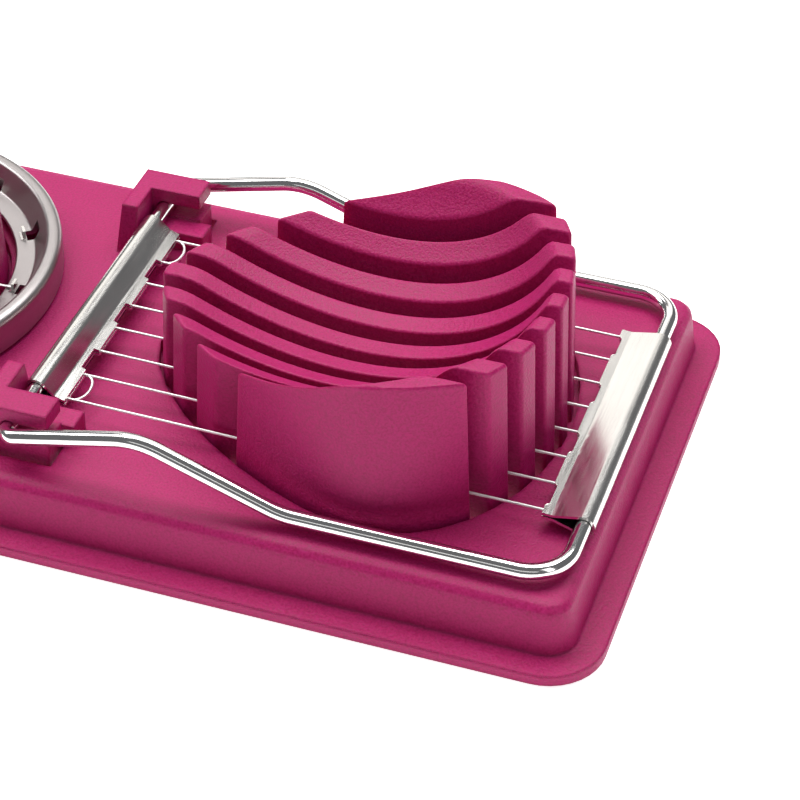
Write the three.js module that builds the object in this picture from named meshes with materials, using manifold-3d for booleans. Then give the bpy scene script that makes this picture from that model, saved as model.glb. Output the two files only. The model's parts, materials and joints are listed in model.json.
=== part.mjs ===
// Two-station egg cutter: a slicer with parallel wires and a wedger with crossed wires on one base.
// Millimetres, +Z up. The origin is the middle of the base's footprint, on the table.
// +X runs along the base towards the slicer's free end, and +Y to the back.

import * as THREE from 'three';
import { mergeVertices } from 'three/addons/utils/BufferGeometryUtils.js';
import Module from 'manifold-3d';

const wasm = await Module();
wasm.setup();

// ---- Driving dimensions ----

// Base
const baseLength = 195;
const baseWidth = 90;
const baseCornerR = 9;
const flangeWidth = 4;
const flangeThickness = 1.8;
const deckHeight = 10;
const baseWall = 2.2;
const wallDraft = 1.5;
const deckFillet = 2.2;

// Egg slicer
const slicePitch = 6.3;
const wireCount = 8;
const wireDia = 0.5;
const slotWidth = 2.8;
const hingeX = 3;
const hingeZ = deckHeight + 4.9;
const frameReach = 86.9;
const frameHalfWidth = 35.4;
const rodDia = 2.5;
const armKneeX = 22;
const armKneeRise = 5.4;
const armFootX = 44.4;
const armFootClear = 0.95;
const hingeBendR = 2.1;
const frameBendR = 6.5;
const kneeBendR = 12;
const wireDropAtHinge = 1.6;

// Cradle that holds the egg between the slots
const cradleMidX = 47.7;
const cradleHalfLength = 33.3;
const cradleHalfWidth = 31.9;
const cradleSkew = 10.3;
const cradleSkewPower = 1.5;
const cradleRoundness = 1.65;
const cradleDraft = 0.055;
const endBlockLean = 0.019;
const bowlHalf = new THREE.Vector3(54.3, 39.5, 35.9);
const bowlCentreX = cradleMidX - 17.7;
const bowlCentreRise = 50.9;
const bowlTilt = 0.61;
const witnessGap = 0.4;
const flangeLip = 3;
const lipThickness = 2.2;
const slotStep = 0.25;

// Folded sheet-steel wire clips
const sheet = 0.5;
const clipHalfLength = 23.4;
const hingeClipReach = 4.6;
const endClipReach = 6.3;
const notchDepth = 0.8;
const foldGap = 0.35;

// Hinge hooks that the rod snaps into
const hookHeight = 8.5;
const hookLeft = -5;
const hookRight = 6.3;
const hookInnerY = 28.2;
const hookOuterY = 33.2;
const wingInnerY = 22.2;
const wingThickness = 2.8;
const wingFoot = 2.5;
const wingDraft = 0.8;
const tongueInnerY = 24.2;
const hookMouth = 2.2;
const rodClear = 0.15;
const pocketLeft = 3.6;
const pocketRight = 6.9;
const pocketInnerY = 27.2;
const pocketOuterY = 34.2;
const tongueReach = 8.3;

// Wedger ring
const ringX = -41.1;
const ringOuterR = 34.7;
const ringRimWidth = 2.4;
const ringSlopeWidth = 2.1;
const ringFlangeWidth = 3.3;
const ringRimR = ringOuterR - ringRimWidth;
const ringFlangeOuterR = ringRimR - ringSlopeWidth;
const ringInnerR = ringFlangeOuterR - ringFlangeWidth;
const ringHeight = 6;
const ringSeatClear = 0.6;
const ringSheet = 0.8;
const ringFlangeRise = 1.9;
const wedgeWires = 3;
const wedgeTurn = 4;
const wedgeAnchorInset = 1.9;
const wedgeAnchorR = ringInnerR + wedgeAnchorInset;
const hookTab = new THREE.Vector2(1.2, 2);
const wireStagger = 0.55;

// Wedger hinge, at the base's left end
const pinReach = 7.2;
const pinX = ringX - ringOuterR - pinReach;
const pinZ = deckHeight + 4.5;
const pinDia = 2.5;
const pinHalfLength = 15;
const tailHalfWidth = 8;
const lugInnerY = 9.4;
const lugThickness = 3;
const lugHalfLength = 4.2;
const lugTop = 4.2;

// Wedger cup
const cupRingGap = 1.5;
const cupR = ringInnerR - cupRingGap;
const cupHeight = 15;
const cupDraft = 0.05;
const cupSlot = 4;
const cupBowlR = 32;
const cupBowlDepth = 8.5;

// ---- Materials ----

const pinkPlastic = new THREE.MeshStandardMaterial({ color: 0xb0215f, roughness: 0.45, metalness: 0 });
const polishedSteel = new THREE.MeshStandardMaterial({ color: 0xd5d3d0, roughness: 0.18, metalness: 1 });
const satinSteel = new THREE.MeshStandardMaterial({ color: 0xb9b2af, roughness: 0.4, metalness: 1 });
const wireSteel = new THREE.MeshStandardMaterial({ color: 0xe2e0dd, roughness: 0.25, metalness: 1 });

// ---- Solids: joining and cutting ----

function toSolid(geometry) {
  const bare = geometry.clone();
  bare.deleteAttribute('normal');
  bare.deleteAttribute('uv');
  const merged = mergeVertices(bare, 1e-4);
  const vertProperties = new Float32Array(merged.attributes.position.array);
  const triVerts = new Uint32Array(merged.index.array);
  return new wasm.Manifold(new wasm.Mesh({ numProp: 3, vertProperties, triVerts }));
}

function toGeometry(solid) {
  const mesh = solid.getMesh();
  const geometry = new THREE.BufferGeometry();
  geometry.setAttribute('position', new THREE.BufferAttribute(new Float32Array(mesh.vertProperties), 3));
  geometry.setIndex(new THREE.BufferAttribute(new Uint32Array(mesh.triVerts), 1));
  return geometry;
}

const unite = (solids) => solids.reduce((all, next) => all.add(next));
const cutAll = (solid, tools) => tools.reduce((rest, tool) => rest.subtract(tool), solid);

// A box between two corners.
function box(lo, hi) {
  const geometry = new THREE.BoxGeometry(hi[0] - lo[0], hi[1] - lo[1], hi[2] - lo[2]);
  return geometry.translate((lo[0] + hi[0]) / 2, (lo[1] + hi[1]) / 2, (lo[2] + hi[2]) / 2);
}

// A flat outline in X and Y, raised from z0 to z1.
function prism(points, z0, z1) {
  const shape = new THREE.Shape(points);
  return new THREE.ExtrudeGeometry(shape, { depth: z1 - z0, bevelEnabled: false }).translate(0, 0, z0);
}

// An outline in X and Z, carried along Y from y0 to y1.
function sideProfile(shape, y0, y1) {
  const geometry = new THREE.ExtrudeGeometry(shape, { depth: y1 - y0, bevelEnabled: false, curveSegments: 6 });
  return geometry.rotateX(Math.PI / 2).translate(0, y1, 0);
}

// Moves the points of an upright prism inwards with height, as the draft of a moulded wall does.
function taper(geometry, inset, centre) {
  const position = geometry.attributes.position;
  for (let i = 0; i < position.count; i += 1) {
    const offset = new THREE.Vector2(position.getX(i) - centre.x, position.getY(i) - centre.y);
    const factor = 1 - inset(position.getZ(i)) / offset.length();
    position.setXY(i, centre.x + offset.x * factor, centre.y + offset.y * factor);
  }
  return geometry;
}

// A round bar of any route: straight runs whose corners are rounded to a given radius.
class BarRoute extends THREE.Curve {
  constructor(corners, arcSteps = 4) {
    super();
    this.points = [corners[0].at];
    corners.slice(1, -1).forEach((corner, i) => {
      const before = corners[i].at.clone().sub(corner.at).normalize();
      const after = corners[i + 2].at.clone().sub(corner.at).normalize();
      const half = before.angleTo(after) / 2;
      const tangent = corner.radius / Math.tan(half);
      const centre = corner.at.clone().addScaledVector(before.clone().add(after).normalize(),
        corner.radius / Math.sin(half));
      const start = corner.at.clone().addScaledVector(before, tangent).sub(centre);
      const end = corner.at.clone().addScaledVector(after, tangent).sub(centre);
      const axis = start.clone().cross(end).normalize();
      for (let k = 0; k <= arcSteps; k += 1) {
        const turn = (Math.PI - 2 * half) * k / arcSteps;
        this.points.push(start.clone().applyAxisAngle(axis, turn).add(centre));
      }
    });
    this.points.push(corners[corners.length - 1].at);
    this.steps = this.points.length - 1;
  }

  getPointAt(u) {
    return this.points[Math.round(u * this.steps)].clone();
  }

  getTangentAt(u) {
    const i = Math.round(u * this.steps);
    const next = this.points[Math.min(i + 1, this.steps)];
    const last = this.points[Math.max(i - 1, 0)];
    return next.clone().sub(last).normalize();
  }
}

function circleShape(radius, sides) {
  const points = [];
  for (let i = 0; i < sides; i += 1) {
    const angle = 2 * Math.PI * i / sides;
    points.push(new THREE.Vector2(radius * Math.cos(angle), radius * Math.sin(angle)));
  }
  return new THREE.Shape(points);
}

function bar(corners, diameter, sides = 8) {
  const route = new BarRoute(corners);
  const options = { steps: route.steps, extrudePath: route, bevelEnabled: false };
  return new THREE.ExtrudeGeometry(circleShape(diameter / 2, sides), options);
}

function straightBar(from, to, diameter, sides = 8) {
  return bar([{ at: from }, { at: to }], diameter, sides);
}

const at = (x, y, z) => new THREE.Vector3(x, y, z);

// ---- Outlines ----

function roundedRectangle(halfX, halfY, radius, steps = 9) {
  const points = [];
  const quarter = Math.PI / 2;
  const corners = [[1, 1], [-1, 1], [-1, -1], [1, -1]];
  corners.forEach(([sx, sy], q) => {
    for (let i = 0; i <= steps; i += 1) {
      const angle = quarter * (q + i / steps);
      points.push(new THREE.Vector2(
        sx * (halfX - radius) + radius * Math.cos(angle),
        sy * (halfY - radius) + radius * Math.sin(angle)));
    }
  });
  return points;
}

// Half the cradle's length at a distance y from its middle: a rounded diamond, as |x|^n + |y|^n = 1.
function cradleChord(y, grow) {
  const share = Math.min(Math.abs(y) / (cradleHalfWidth + grow), 1);
  return (cradleHalfLength + grow) * (1 - share ** cradleRoundness) ** (1 / cradleRoundness);
}

const cradleMiddle = (y) => cradleMidX
  + cradleSkew * Math.min(Math.abs(y) / cradleHalfWidth, 1) ** cradleSkewPower;

function cradleOutline(grow, steps = 9) {
  const right = [];
  const left = [];
  for (let i = -steps; i <= steps; i += 1) {
    const y = (cradleHalfWidth + grow) * Math.sin(Math.PI / 2 * i / steps);
    right.push(new THREE.Vector2(cradleMiddle(y) + cradleChord(y, grow), y));
    left.push(new THREE.Vector2(cradleMiddle(y) - cradleChord(y, grow), y));
  }
  return [...right, ...left.slice(1, -1).reverse()];
}

const wireY = (i) => slicePitch * (i - (wireCount - 1) / 2);
const deckUnder = deckHeight - baseWall;
const lipTop = deckUnder - 0.1;
const lipBottom = lipTop - lipThickness;

// ---- Base moulding ----

function baseShell() {
  const halfX = baseLength / 2;
  const halfY = baseWidth / 2;
  const wallX = halfX - flangeWidth;
  const wallY = halfY - flangeWidth;
  const wallR = baseCornerR - flangeWidth;
  const flange = toSolid(prism(roundedRectangle(halfX, halfY, baseCornerR), 0, flangeThickness));

  // The wall leans in by its draft and turns into the deck over a rounded edge.
  const wallInset = (z) => wallDraft * (z - flangeThickness) / (deckHeight - flangeThickness);
  const filletSteps = 3;
  const levels = [[0, 0], [deckHeight - deckFillet, wallInset(deckHeight - deckFillet)]];
  for (let i = 1; i <= filletSteps; i += 1) {
    const angle = Math.PI / 2 * i / filletSteps;
    levels.push([deckHeight - deckFillet * (1 - Math.sin(angle)), levels[1][1] + deckFillet * (1 - Math.cos(angle))]);
  }
  const outer = loftedBox(wallX, wallY, wallR, levels);
  const hollow = loftedBox(wallX - baseWall, wallY - baseWall, wallR - baseWall / 2,
    [[-1, 0], [deckUnder, wallInset(deckUnder)]]);

  const hooks = [-1, 1].flatMap((side) => hingeHook(side));
  const lugs = [-1, 1].map((side) => toSolid(pinLug(side)));
  const body = unite([flange, outer]).subtract(hollow);
  const openings = [
    toSolid(prism(cradleOutline(witnessGap + 0.3), lipBottom, deckHeight + 1)),
    toSolid(new THREE.CylinderGeometry(cupR + witnessGap + 0.3, cupR + witnessGap + 0.3, 20, 48)
      .rotateX(Math.PI / 2).translate(ringX, 0, deckHeight)),
    ...[-1, 1].map((side) => toSolid(hookPocket(side))),
  ];
  return cutAll(unite([cutAll(body, openings), ...hooks, ...lugs]), [-1, 1].flatMap((side) => rodSeat(side)));
}

// A box with rounded upright corners whose walls step inwards at each level [z, inset].
function loftedBox(halfX, halfY, radius, levels) {
  const rings = levels.map(([z, inset]) => roundedRectangle(halfX - inset, halfY - inset,
    Math.max(radius - inset, 0.6)).map((p) => at(p.x, p.y, z)));
  const count = rings[0].length;
  const positions = rings.flat().flatMap((p) => [p.x, p.y, p.z]);
  const index = [];
  for (let r = 0; r < rings.length - 1; r += 1) {
    for (let i = 0; i < count; i += 1) {
      const j = (i + 1) % count;
      const low = r * count;
      const high = low + count;
      index.push(low + i, low + j, high + j, low + i, high + j, high + i);
    }
  }
  const top = (rings.length - 1) * count;
  for (let i = 1; i < count - 1; i += 1) {
    index.push(0, i + 1, i, top, top + i, top + i + 1);
  }
  const geometry = new THREE.BufferGeometry();
  geometry.setAttribute('position', new THREE.Float32BufferAttribute(positions, 3));
  geometry.setIndex(index);
  return toSolid(geometry);
}

// One hinge hook: a cheek along X that the rod passes through, and a wing along Y behind the rod.
function hingeHook(side) {
  const top = deckHeight + hookHeight;
  const cheek = spanY(side, hookInnerY, hookOuterY, (y0, y1) => box(
    [hingeX + hookLeft, y0, deckUnder], [hingeX + hookRight, y1, top]));
  const inner = side * wingInnerY;
  const outer = side * (hookInnerY + 1);
  const left = hingeX + hookLeft;
  const wing = frustum([left - wingDraft, inner - side * wingFoot], [left + wingThickness, outer],
    [left, inner], [left + wingThickness, outer], deckUnder, top);
  const tongue = spanY(side, tongueInnerY, hookInnerY, (y0, y1) => box(
    [hingeX - 1, y0, deckUnder], [hingeX + tongueReach, y1, hingeZ - rodDia / 2 - 0.3]));
  return [toSolid(cheek), toSolid(wing), toSolid(tongue)];
}

// A block whose rectangle at the bottom differs from the one at the top. Corners are [x, y].
function frustum(lowA, lowB, highA, highB, z0, z1) {
  const ring = ([ax, ay], [bx, by], z) => [ax, ay, z, bx, ay, z, bx, by, z, ax, by, z];
  const geometry = new THREE.BufferGeometry();
  geometry.setAttribute('position',
    new THREE.Float32BufferAttribute([...ring(lowA, lowB, z0), ...ring(highA, highB, z1)], 3));
  const outward = (lowB[0] - lowA[0]) * (lowB[1] - lowA[1]) > 0;
  const index = [0, 2, 1, 0, 3, 2, 4, 5, 6, 4, 6, 7];
  for (let i = 0; i < 4; i += 1) {
    const j = (i + 1) % 4;
    index.push(i, j, j + 4, i, j + 4, i + 4);
  }
  geometry.setIndex(outward ? index : index.reverse());
  return geometry;
}

function spanY(side, inner, outer, make) {
  return side > 0 ? make(inner, outer) : make(-outer, -inner);
}

// The pocket beside the cheek goes through the deck, so that the mould can form the hook's underside.
function hookPocket(side) {
  return spanY(side, pocketInnerY, pocketOuterY, (y0, y1) => box(
    [hingeX - pocketLeft, y0, lipBottom], [hingeX + pocketRight, y1, deckHeight + 1]));
}

// The rod's round seat, and the narrower mouth that it snaps in by from the +X side.
function rodSeat(side) {
  const y0 = hookInnerY - 1;
  const y1 = hookOuterY + 1;
  const seat = straightBar(at(hingeX, side * y0, hingeZ), at(hingeX, side * y1, hingeZ),
    rodDia + 2 * rodClear, 16);
  const mouth = spanY(side, y0, y1, (a, b) => box(
    [hingeX, a, hingeZ - hookMouth / 2], [hingeX + hookRight + 1, b, hingeZ + hookMouth / 2]));
  return [toSolid(seat), toSolid(mouth)];
}

// A lug that holds one end of the wedger's hinge pin.
function pinLug(side) {
  const shape = new THREE.Shape();
  shape.moveTo(pinX - lugHalfLength, deckUnder);
  shape.lineTo(pinX + lugHalfLength, deckUnder);
  shape.lineTo(pinX + lugTop, pinZ);
  shape.absarc(pinX, pinZ, lugTop, 0, Math.PI, false);
  const hole = new THREE.Path();
  hole.absarc(pinX, pinZ, pinDia / 2 + 0.05, 0, 2 * Math.PI, true);
  shape.holes.push(hole);
  return spanY(side, lugInnerY, lugInnerY + lugThickness, (y0, y1) => sideProfile(shape, y0, y1));
}

// ---- Slicer cradle ----

function slicerCradle() {
  const outline = cradleOutline(0);
  const centre = new THREE.Vector2(cradleMidX + cradleSkew / 2, 0);
  const tall = deckHeight + 32;
  const wallGeometry = prismInLayers(outline, [lipBottom, deckHeight, tall]);
  const drafted = taper(wallGeometry, (z) => cradleDraft * Math.max(z - deckHeight, 0), centre);
  const walls = toSolid(leanEndBlocks(drafted));
  const lip = toSolid(prism(cradleOutline(flangeLip), lipBottom, lipTop));
  const bowl = toSolid(new THREE.SphereGeometry(1, 32, 24).scale(bowlHalf.x, bowlHalf.y, bowlHalf.z)
    .rotateY(bowlTilt).translate(bowlCentreX, 0, deckHeight + bowlCentreRise));
  const rim = toSolid(sideProfile(rimShape(), -cradleHalfWidth - 5, cradleHalfWidth + 5));
  const slots = [];
  for (let i = 0; i < wireCount; i += 1) {
    slots.push(...cradleSlot(wireY(i)));
  }
  return cutAll(unite([walls.intersect(rim), lip]), [bowl, ...slots]);
}

// The two end blocks' outer walls lean in as they rise: their bulge past the last slot shrinks.
function leanEndBlocks(geometry) {
  const position = geometry.attributes.position;
  const start = wireY(wireCount - 1) + slotWidth / 2;
  for (let i = 0; i < position.count; i += 1) {
    const y = position.getY(i);
    const bulge = Math.abs(y) - start;
    const rise = Math.max(position.getZ(i) - deckHeight, 0);
    if (bulge > 0) {
      position.setY(i, Math.sign(y) * (start + bulge * (1 - endBlockLean * rise)));
    }
  }
  return geometry;
}

// A prism with a row of points at each height, so that it can be tapered above one of them.
function prismInLayers(points, heights) {
  const count = points.length;
  const positions = heights.flatMap((z) => points.flatMap((p) => [p.x, p.y, z]));
  const index = [];
  for (let r = 0; r < heights.length - 1; r += 1) {
    for (let i = 0; i < count; i += 1) {
      const a = r * count + i;
      const b = r * count + (i + 1) % count;
      index.push(a, b, b + count, a, b + count, a + count);
    }
  }
  const top = (heights.length - 1) * count;
  THREE.ShapeUtils.triangulateShape(points, []).forEach(([a, b, c]) => {
    index.push(a, c, b, top + a, top + b, top + c);
  });
  const geometry = new THREE.BufferGeometry();
  geometry.setAttribute('position', new THREE.Float32BufferAttribute(positions, 3));
  geometry.setIndex(index);
  return geometry;
}

// The rim rises from the hinge side to the free side in one soft S.
function rimShape() {
  const left = cradleMidX - cradleHalfLength - 4;
  const right = cradleMidX + cradleHalfLength + 6;
  const rises = [[left, 15], [left + 9, 15.4], [left + 18, 16.8], [left + 26, 18.5], [left + 33, 20.3],
    [left + 39, 21.9], [left + 46, 23.3], [left + 56, 24.2], [right, 24.3]];
  const shape = new THREE.Shape();
  shape.moveTo(left, 0);
  shape.lineTo(left, deckHeight + rises[0][1]);
  shape.splineThru(rises.slice(1).map(([x, rise]) => new THREE.Vector2(x, deckHeight + rise)));
  shape.lineTo(right, 0);
  return shape;
}

// A slot is open right through. Under the deck it stops short of the lip, which joins the fins.
function cradleSlot(y) {
  const half = slotWidth / 2;
  const middle = cradleMiddle(y);
  const chord = cradleChord(Math.abs(y) + half, 0);
  const wide = box([middle - 50, y - half, lipTop], [middle + 50, y + half, deckHeight + 40]);
  const deepHalf = half - slotStep;
  const deep = box([middle - chord, y - deepHalf, lipBottom - 1], [middle + chord, y + deepHalf, deckHeight]);
  return [toSolid(wide), toSolid(deep)];
}

// ---- Slicer frame ----

const footZ = deckHeight + armFootClear + rodDia / 2;
const endX = hingeX + frameReach;

// One rod bent into a closed loop. Its ends meet inside the free end's clip.
function frameRod() {
  const w = frameHalfWidth;
  const kneeZ = hingeZ + armKneeRise;
  const side = (s) => [
    { at: at(endX, s * w, footZ), radius: frameBendR },
    { at: at(hingeX + armFootX, s * w, footZ), radius: kneeBendR },
    { at: at(hingeX + armKneeX, s * w, kneeZ), radius: kneeBendR },
    { at: at(hingeX, s * w, hingeZ), radius: hingeBendR },
  ];
  const halfJoint = 0.15;
  return bar([
    { at: at(endX, halfJoint, footZ) },
    ...side(1),
    ...side(-1).reverse(),
    { at: at(endX, -halfJoint, footZ) },
  ], rodDia);
}

// A sheet folded round a rod and brought together in a flange. Reach is signed along X.
function wireClip(x, z, reach, drop) {
  const sign = Math.sign(reach);
  const inner = rodDia / 2 + 0.12;
  const outer = inner + sheet;
  const tipX = x + reach;
  const tipZ = z - drop;
  const around = (radius, tip, gap) => {
    const shape = new THREE.Shape();
    const lean = Math.atan2(tipZ - z, Math.abs(tip - x));
    const from = Math.PI / 2 + lean;
    const points = [new THREE.Vector2(tip, tipZ + gap)];
    for (let i = 0; i <= 8; i += 1) {
      const angle = from + (Math.PI * i) / 8;
      points.push(new THREE.Vector2(x + sign * radius * Math.cos(angle), z + radius * Math.sin(angle)));
    }
    points.push(new THREE.Vector2(tip, tipZ - gap));
    shape.setFromPoints(points);
    return shape;
  };
  const half = clipHalfLength;
  const shell = toSolid(sideProfile(around(outer, tipX, sheet + foldGap / 2), -half, half));
  const room = toSolid(sideProfile(around(inner, tipX - sign * sheet, foldGap / 2), -half - 1, half + 1));
  return shell.subtract(room);
}

// Notches between pairs of wires leave the tabs that the wire is looped over.
function notches(x, reach, drop, z, firstPair) {
  const tools = [];
  const half = (slicePitch - wireDia) / 2 - 0.4;
  for (let i = firstPair; i < wireCount - 1; i += 2) {
    const y = (wireY(i) + wireY(i + 1)) / 2;
    const tip = x + reach;
    const back = tip - Math.sign(reach) * notchDepth;
    const lo = Math.min(tip + Math.sign(reach), back);
    const hi = Math.max(tip + Math.sign(reach), back);
    tools.push(toSolid(box([lo, y - half, z - drop - 2], [hi, y + half, z - drop + 2])));
  }
  return tools;
}

const hingeTip = at(hingeX + hingeClipReach, 0, hingeZ - wireDropAtHinge);
const endTip = at(endX - endClipReach, 0, footZ + 0.4);

function sliceWire(y) {
  const gap = 0.02;
  return straightBar(at(hingeTip.x + gap, y, hingeTip.z), at(endTip.x - gap, y, endTip.z), wireDia, 6);
}

// ---- Wedger ----

// The ring is one pressing: outer wall, flat rim, sloping inner wall and a flange that carries the wires.
function wedgerRing() {
  const low = deckHeight + ringSeatClear;
  const top = low + ringHeight;
  const flangeTop = low + ringFlangeRise;
  const t = ringSheet;
  const profile = [
    [ringOuterR - t, low], [ringOuterR, low], [ringOuterR, top - 1], [ringOuterR - 0.5, top - 0.2],
    [ringOuterR - 1.2, top], [ringRimR, top], [ringRimR - 0.6, top - 0.5], [ringFlangeOuterR, flangeTop],
    [ringInnerR, flangeTop], [ringInnerR, flangeTop - t], [ringFlangeOuterR + 0.4, flangeTop - t],
    [ringRimR + 0.2, top - t], [ringOuterR - t - 0.5, top - t], [ringOuterR - t, top - t - 0.6],
  ].map(([r, z]) => new THREE.Vector2(r, z));
  profile.push(profile[0].clone());
  const ring = toSolid(new THREE.LatheGeometry(profile, 72).rotateX(Math.PI / 2).translate(ringX, 0, 0));
  const tail = toSolid(ringTail(low));
  const tabs = [];
  for (let i = 0; i < 2 * wedgeWires; i += 1) {
    tabs.push(anchorTab(i, flangeTop));
  }
  return unite([ring, tail, ...tabs]);
}

// The tail runs from the ring's wall to the hinge and is rolled round the pin.
function ringTail(low) {
  const inner = pinDia / 2 + 0.1;
  const outer = inner + 1.2;
  const shape = new THREE.Shape();
  const join = ringX - ringOuterR + ringSheet / 2;
  shape.moveTo(join, pinZ + outer);
  shape.lineTo(pinX, pinZ + outer);
  shape.absarc(pinX, pinZ, outer, Math.PI / 2, 2 * Math.PI - 0.35, false);
  shape.lineTo(pinX + outer + 0.3, pinZ + 0.7);
  shape.lineTo(join, pinZ + 0.7);
  const hole = new THREE.Path();
  hole.absarc(pinX, pinZ, inner, 0, 2 * Math.PI, true);
  shape.holes.push(hole);
  return sideProfile(shape, -tailHalfWidth, tailHalfWidth);
}

const wedgeWireZ = (i) => deckHeight + ringSeatClear + ringFlangeRise + wireDia / 2 + 0.05 + i * wireStagger;

// A tab lanced up from the flange, which the end of a wire butts against.
function anchorTab(i, flangeTop) {
  const turn = THREE.MathUtils.degToRad(wedgeTurn + 180 * i / wedgeWires);
  const height = wedgeWireZ(i % wedgeWires) + wireDia / 2 + 0.2 - flangeTop;
  const tab = box([wedgeAnchorR, -hookTab.y / 2, flangeTop - 0.3],
    [wedgeAnchorR + hookTab.x, hookTab.y / 2, flangeTop + height]);
  return toSolid(tab.rotateZ(turn).translate(ringX, 0, 0));
}

function wedgeWire(i) {
  const turn = THREE.MathUtils.degToRad(wedgeTurn + 180 * i / wedgeWires);
  const reach = wedgeAnchorR - 0.02;
  const end = at(reach * Math.cos(turn), reach * Math.sin(turn), 0);
  const middle = at(ringX, 0, wedgeWireZ(i));
  return straightBar(middle.clone().sub(end), middle.clone().add(end), wireDia, 6);
}

function wedgerCup() {
  const top = deckHeight + cupHeight;
  const topR = cupR - cupDraft * cupHeight;
  const profile = [[0, lipBottom], [cupR + flangeLip, lipBottom], [cupR + flangeLip, lipTop],
    [cupR, lipTop], [cupR, deckHeight], [topR + 0.1, top - 1], [topR - 0.8, top]];
  const bowlSteps = 6;
  const bowlEdge = Math.acos(1 - cupBowlDepth / cupBowlR);
  for (let i = 0; i <= bowlSteps; i += 1) {
    const angle = bowlEdge * (1 - i / bowlSteps);
    profile.push([cupBowlR * Math.sin(angle), top - cupBowlDepth + cupBowlR * (1 - Math.cos(angle))]);
  }
  const body = toSolid(new THREE.LatheGeometry(profile.map(([r, z]) => new THREE.Vector2(r, z)), 48)
    .rotateX(Math.PI / 2).translate(ringX, 0, 0));
  const slots = [];
  for (let i = 0; i < wedgeWires; i += 1) {
    const turn = THREE.MathUtils.degToRad(wedgeTurn + 180 * i / wedgeWires);
    const wide = box([-cupR - 5, -cupSlot / 2, lipTop], [cupR + 5, cupSlot / 2, top + 5]);
    const deepHalf = cupSlot / 2 - slotStep;
    const deep = box([-cupR + 0.5, -deepHalf, lipBottom - 1], [cupR - 0.5, deepHalf, deckHeight]);
    slots.push(toSolid(wide.rotateZ(turn).translate(ringX, 0, 0)));
    slots.push(toSolid(deep.rotateZ(turn).translate(ringX, 0, 0)));
  }
  return cutAll(body, slots);
}

function hingePin() {
  return straightBar(at(pinX, -pinHalfLength, pinZ), at(pinX, pinHalfLength, pinZ), pinDia, 12);
}

// ---- Assembly ----

const group = new THREE.Group();

function add(name, geometry, material) {
  const mesh = new THREE.Mesh(geometry, material);
  mesh.name = name;
  group.add(mesh);
}

add('base_shell', toGeometry(baseShell()), pinkPlastic);
add('slicer_cradle', toGeometry(slicerCradle()), pinkPlastic);
add('wedger_cup', toGeometry(wedgerCup()), pinkPlastic);

add('slicer_frame_rod', frameRod(), polishedSteel);
const hingeClip = cutAll(wireClip(hingeX, hingeZ, hingeClipReach, wireDropAtHinge),
  notches(hingeX, hingeClipReach, wireDropAtHinge, hingeZ, 1));
add('slicer_hinge_clip', toGeometry(hingeClip), polishedSteel);
const endClip = cutAll(wireClip(endX, footZ, -endClipReach, footZ - endTip.z),
  notches(endX, -endClipReach, footZ - endTip.z, footZ, 0));
add('slicer_end_clip', toGeometry(endClip), polishedSteel);
for (let i = 0; i < wireCount; i += 1) {
  add(`slicer_wire_${i + 1}`, sliceWire(wireY(i)), wireSteel);
}

add('wedger_ring', toGeometry(wedgerRing()), satinSteel);
add('wedger_hinge_pin', hingePin(), polishedSteel);
for (let i = 0; i < wedgeWires; i += 1) {
  add(`wedger_wire_${i + 1}`, wedgeWire(i), wireSteel);
}

export default group;
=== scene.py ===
"""Looks of a two-station egg cutter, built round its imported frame.

Sizes are in millimetres inside the shape functions and become metres when a mesh is made.
Every shape is a surface of two parameters on a grid, worked out as whole arrays.
"""
import json
import math

import bmesh
import bpy
import numpy as np
from bpy.props import FloatProperty, FloatVectorProperty, IntProperty, PointerProperty
from mathutils import Matrix, Vector


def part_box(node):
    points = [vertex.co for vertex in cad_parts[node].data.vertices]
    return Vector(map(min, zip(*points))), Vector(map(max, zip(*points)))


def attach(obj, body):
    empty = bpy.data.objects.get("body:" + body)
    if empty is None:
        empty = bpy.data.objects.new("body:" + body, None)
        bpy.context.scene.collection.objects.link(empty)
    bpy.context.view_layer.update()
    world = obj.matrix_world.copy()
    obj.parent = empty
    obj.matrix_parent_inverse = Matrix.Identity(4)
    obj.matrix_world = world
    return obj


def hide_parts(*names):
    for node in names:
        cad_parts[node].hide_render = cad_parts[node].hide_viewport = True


bl_info = {
    "name": "Egg Cutter",
    "version": (1, 0, 0),
    "blender": (4, 5, 0),
    "location": "View3D > Sidebar > Egg Cutter",
    "description": "Builds the slotted cradle, the wired frames and the cup of an egg cutter",
    "category": "Add Mesh",
}

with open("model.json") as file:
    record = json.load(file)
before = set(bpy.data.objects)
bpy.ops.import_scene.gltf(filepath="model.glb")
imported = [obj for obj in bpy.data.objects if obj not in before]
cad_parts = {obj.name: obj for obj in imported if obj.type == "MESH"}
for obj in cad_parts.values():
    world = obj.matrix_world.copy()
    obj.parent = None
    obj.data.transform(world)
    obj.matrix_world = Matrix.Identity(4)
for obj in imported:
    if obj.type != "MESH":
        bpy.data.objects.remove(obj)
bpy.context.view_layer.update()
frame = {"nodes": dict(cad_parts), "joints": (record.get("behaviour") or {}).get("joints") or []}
MM = 0.001
DECK = 10.0
LIP_TOP, LIP_BOTTOM = 7.7, 5.5


def low_corner(node):
    """A node's lowest corner at rest, in millimetres."""
    return [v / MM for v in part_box(node)[0]]


def high_corner(node):
    """A node's highest corner at rest, in millimetres."""
    return [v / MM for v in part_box(node)[1]]


def hinge_place(name):
    """Where a hinge's axis crosses the object's middle plane: its length and height, in millimetres."""
    joint = next(item for item in frame["joints"] if item["name"] == name)
    return joint["pos_m"][0] / MM, joint["pos_m"][2] / MM


# ---- Sizes and colours ----

def length(label, note, default):
    """A size in millimetres that a user may change."""
    return FloatProperty(name=label, description=note + ", in millimetres", default=default, min=0.05, max=50)


def colour(label, note, default):
    """A linear colour that a user may change."""
    return FloatVectorProperty(name=label, description=note, subtype="COLOR", size=3, default=default,
                               min=0, max=1)


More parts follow.
